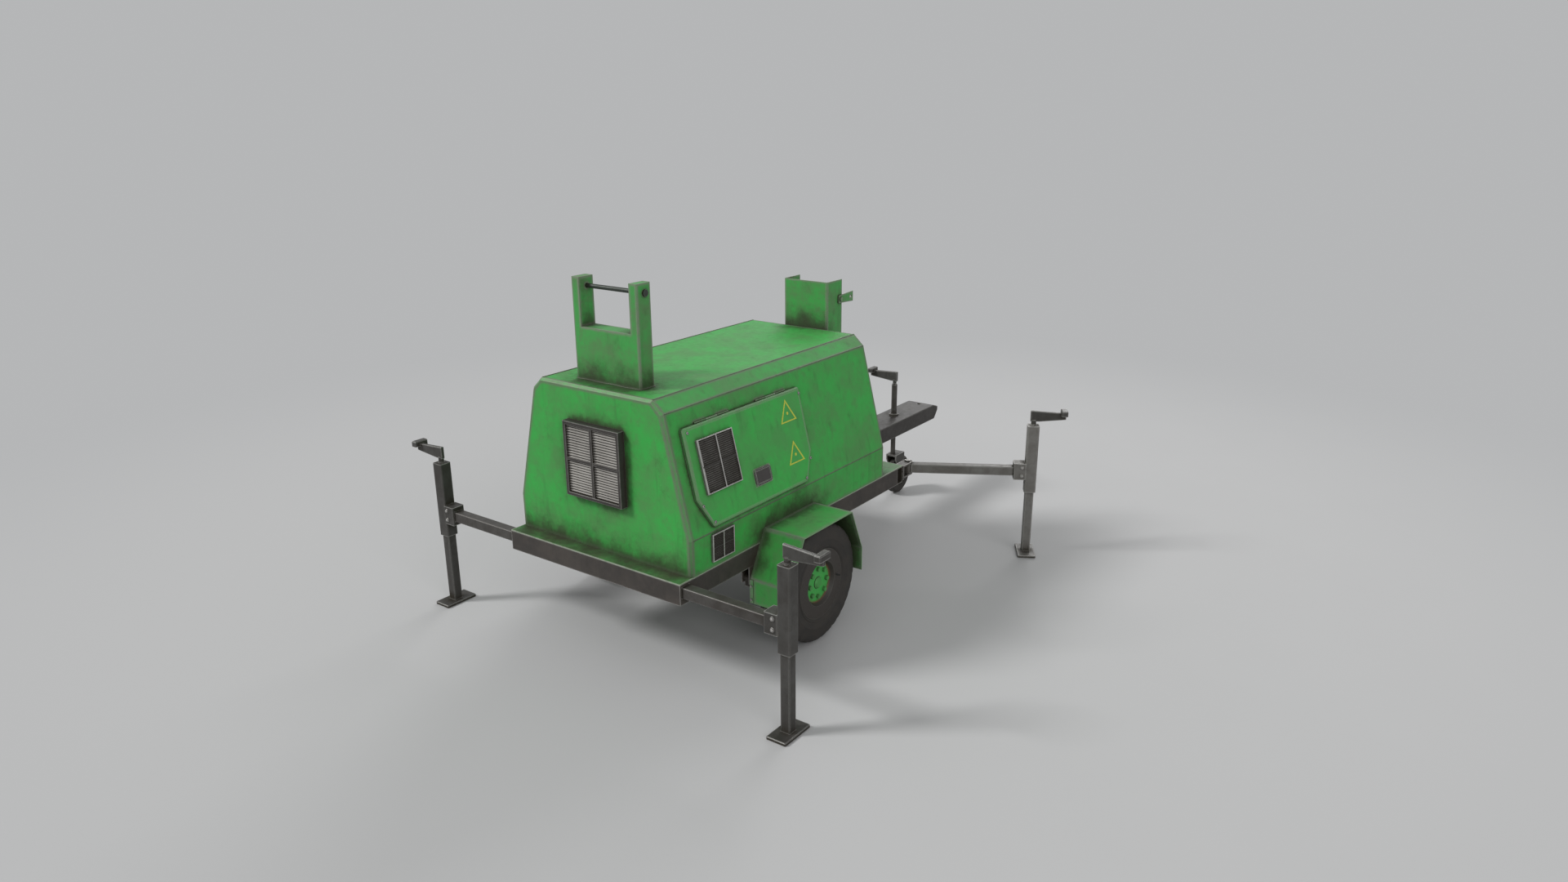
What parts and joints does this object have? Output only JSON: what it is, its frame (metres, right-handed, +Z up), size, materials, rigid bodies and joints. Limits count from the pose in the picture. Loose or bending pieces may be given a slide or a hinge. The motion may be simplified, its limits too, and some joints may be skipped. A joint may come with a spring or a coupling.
{
  "type": "towable diesel generator",
  "caption": "Single-axle towable diesel generator with a sloped sheet canopy, grilled side doors, four crank-down outrigger legs, jockey jack and roof mast supports.",
  "frame": {"origin": "on the ground, under the middle of the bounding box; the road-wheel axle is at x = -0.8785 m", "axes": "+X towards the drawbar, +Y to the trailer's left, +Z up"},
  "size_m": [3.747, 3.0158, 2.079],
  "materials": {
    "green_paint": "worn satin green paint",
    "chassis_paint": "worn dark paint",
    "leg_steel": "worn dark paint over steel",
    "bare_steel": "dull",
    "grille_paint": "dirty dark grey",
    "tyre": "matt, dusty",
    "wheel_paint": "worn green and dark paint",
    "cast_iron": "painted casting",
    "radiator_core": "satin",
    "plastic": "moulded",
    "rubber": "matt"
  },
  "bodies": {
    "chassis": {"chassis_frame": "chassis_paint", "deck_plate": "green_paint", "drawbar": "chassis_paint", "axle_beam": "chassis_paint", "leaf_springs": "chassis_paint", "mudguards": "green_paint", "mudguard_bolts": "bare_steel", "front_hinge_brackets": "bare_steel", "front_hinge_pins": "bare_steel", "canopy_shell": "green_paint", "rear_grille": "grille_paint", "lower_grilles": "grille_paint", "rear_mast_bracket": "green_paint", "mast_pivot_pin": "bare_steel", "front_mast_cradle": "green_paint", "engine_block": "cast_iron", "alternator": "cast_iron", "radiator": "radiator_core", "fuel_tank": "plastic", "battery": "plastic", "silencer": "leg_steel", "air_filter": "plastic", "control_box": "grille_paint", "engine_mounts": "rubber", "door_hinge_pins": "bare_steel", "jack_tube": "leg_steel"},
    "fan": {"cooling_fan": "plastic"},
    "wheel_right": {"tyre_right": "tyre", "rim_right": "wheel_paint", "hub_right": "wheel_paint"},
    "wheel_left": {"tyre_left": "tyre", "rim_left": "wheel_paint", "hub_left": "wheel_paint"},
    "outrigger_rear_right": {"rear_arm_right": "leg_steel", "leg_tube_rear_right": "leg_steel"},
    "leg_rear_right": {"inner_leg_rear_right": "leg_steel"},
    "crank_rear_right": {"leg_crank_rear_right": "leg_steel"},
    "outrigger_rear_left": {"rear_arm_left": "leg_steel", "leg_tube_rear_left": "leg_steel"},
    "leg_rear_left": {"inner_leg_rear_left": "leg_steel"},
    "crank_rear_left": {"leg_crank_rear_left": "leg_steel"},
    "outrigger_front_right": {"front_arm_right": "leg_steel", "leg_tube_front_right": "leg_steel"},
    "leg_front_right": {"inner_leg_front_right": "leg_steel"},
    "crank_front_right": {"leg_crank_front_right": "leg_steel"},
    "outrigger_front_left": {"front_arm_left": "leg_steel", "leg_tube_front_left": "leg_steel"},
    "leg_front_left": {"inner_leg_front_left": "leg_steel"},
    "crank_front_left": {"leg_crank_front_left": "leg_steel"},
    "door_panel_right": {"door_right": "green_paint", "door_grille_right": "grille_paint"},
    "paddle_right": {"latch_paddle_right": "leg_steel"},
    "door_panel_left": {"door_left": "green_paint", "door_grille_left": "grille_paint"},
    "paddle_left": {"latch_paddle_left": "leg_steel"},
    "jack_leg": {"jack_inner": "leg_steel"},
    "jack_handle": {"jack_crank": "leg_steel"},
    "jockey_swivel": {"jockey_fork": "leg_steel"},
    "jockey": {"jockey_wheel": "tyre"},
    "keeper": {"cradle_keeper": "green_paint"}
  },
  "joints": [
    {"name": "wheel_spin_right", "type": "hinge", "parent": "chassis", "child": "wheel_right", "pos_m": [-0.8785, -0.767, 0.345], "axis": [0, 1, 0], "continuous": true},
    {"name": "wheel_spin_left", "type": "hinge", "parent": "chassis", "child": "wheel_left", "pos_m": [-0.8785, 0.767, 0.345], "axis": [0, 1, 0], "continuous": true},
    {"name": "fan_spin", "type": "hinge", "parent": "chassis", "child": "fan", "pos_m": [-0.4535, 0, 0.9], "axis": [1, 0, 0], "continuous": true},
    {"name": "arm_slide_rear_right", "type": "slide", "parent": "chassis", "child": "outrigger_rear_right", "axis": [0, 1, 0], "range_m": [0, 0.43]},
    {"name": "leg_lift_rear_right", "type": "slide", "parent": "outrigger_rear_right", "child": "leg_rear_right", "axis": [0, 0, 1], "range_m": [-0.06, 0.3]},
    {"name": "crank_turn_rear_right", "type": "hinge", "parent": "outrigger_rear_right", "child": "crank_rear_right", "pos_m": [-1.7675, -1.265, 0.95], "axis": [0, 0, 1], "range_deg": [-2400, 11200]},
    {"name": "arm_slide_rear_left", "type": "slide", "parent": "chassis", "child": "outrigger_rear_left", "axis": [0, -1, 0], "range_m": [0, 0.43]},
    {"name": "leg_lift_rear_left", "type": "slide", "parent": "outrigger_rear_left", "child": "leg_rear_left", "axis": [0, 0, 1], "range_m": [-0.06, 0.3]},
    {"name": "crank_turn_rear_left", "type": "hinge", "parent": "outrigger_rear_left", "child": "crank_rear_left", "pos_m": [-1.7675, 1.265, 0.95], "axis": [0, 0, 1], "range_deg": [-2400, 11200]},
    {"name": "arm_swing_front_right", "type": "hinge", "parent": "chassis", "child": "outrigger_front_right", "pos_m": [0.5345, -0.603, 0.585], "axis": [0, 0, 1], "range_deg": [-45, 60]},
    {"name": "leg_lift_front_right", "type": "slide", "parent": "outrigger_front_right", "child": "leg_front_right", "axis": [0, 0, 1], "range_m": [-0.06, 0.3]},
    {"name": "crank_turn_front_right", "type": "hinge", "parent": "outrigger_front_right", "child": "crank_front_right", "pos_m": [0.9395, -1.30448, 0.95], "axis": [0, 0, 1], "range_deg": [-2400, 11200]},
    {"name": "arm_swing_front_left", "type": "hinge", "parent": "chassis", "child": "outrigger_front_left", "pos_m": [0.5345, 0.603, 0.585], "axis": [0, 0, -1], "range_deg": [-45, 60]},
    {"name": "leg_lift_front_left", "type": "slide", "parent": "outrigger_front_left", "child": "leg_front_left", "axis": [0, 0, 1], "range_m": [-0.06, 0.3]},
    {"name": "crank_turn_front_left", "type": "hinge", "parent": "outrigger_front_left", "child": "crank_front_left", "pos_m": [0.9395, 1.30448, 0.95], "axis": [0, 0, 1], "range_deg": [-2400, 11200]},
    {"name": "door_lift_right", "type": "hinge", "parent": "chassis", "child": "door_panel_right", "pos_m": [-1.116, -0.49668, 1.38365], "axis": [-1, 0, 0], "range_deg": [0, 80]},
    {"name": "paddle_pull_right", "type": "hinge", "parent": "door_panel_right", "child": "paddle_right", "pos_m": [-1.0815, -0.60453, 1.03338], "axis": [-1, 0, 0], "range_deg": [0, 40]},
    {"name": "door_lift_left", "type": "hinge", "parent": "chassis", "child": "door_panel_left", "pos_m": [-1.116, 0.49668, 1.38365], "axis": [1, 0, 0], "range_deg": [0, 80]},
    {"name": "paddle_pull_left", "type": "hinge", "parent": "door_panel_left", "child": "paddle_left", "pos_m": [-1.0815, 0.60453, 1.03338], "axis": [1, 0, 0], "range_deg": [0, 40]},
    {"name": "jack_lift", "type": "slide", "parent": "chassis", "child": "jack_leg", "axis": [0, 0, 1], "range_m": [-0.1, 0.16]},
    {"name": "jack_crank_turn", "type": "hinge", "parent": "chassis", "child": "jack_handle", "pos_m": [1.3815, 0, 0.93], "axis": [0, 0, 1], "range_deg": [-3700, 5900]},
    {"name": "jockey_turn", "type": "hinge", "parent": "jack_leg", "child": "jockey_swivel", "pos_m": [1.3815, 0, 0.32], "axis": [0, 0, 1], "continuous": true},
    {"name": "jockey_spin", "type": "hinge", "parent": "jockey_swivel", "child": "jockey", "pos_m": [1.4615, 0, 0.148], "axis": [0, 1, 0], "continuous": true},
    {"name": "keeper_turn", "type": "hinge", "parent": "chassis", "child": "keeper", "pos_m": [0.3465, -0.173, 1.706], "axis": [0, -1, 0], "range_deg": [0, 95]}
  ],
  "couplings": [
    {"joint": "crank_turn_rear_right", "follows": "leg_lift_rear_right", "rad_per_m": 628.32},
    {"joint": "crank_turn_rear_left", "follows": "leg_lift_rear_left", "rad_per_m": 628.32},
    {"joint": "crank_turn_front_right", "follows": "leg_lift_front_right", "rad_per_m": 628.32},
    {"joint": "crank_turn_front_left", "follows": "leg_lift_front_left", "rad_per_m": 628.32},
    {"joint": "jack_crank_turn", "follows": "jack_lift", "rad_per_m": 628.32}
  ]
}
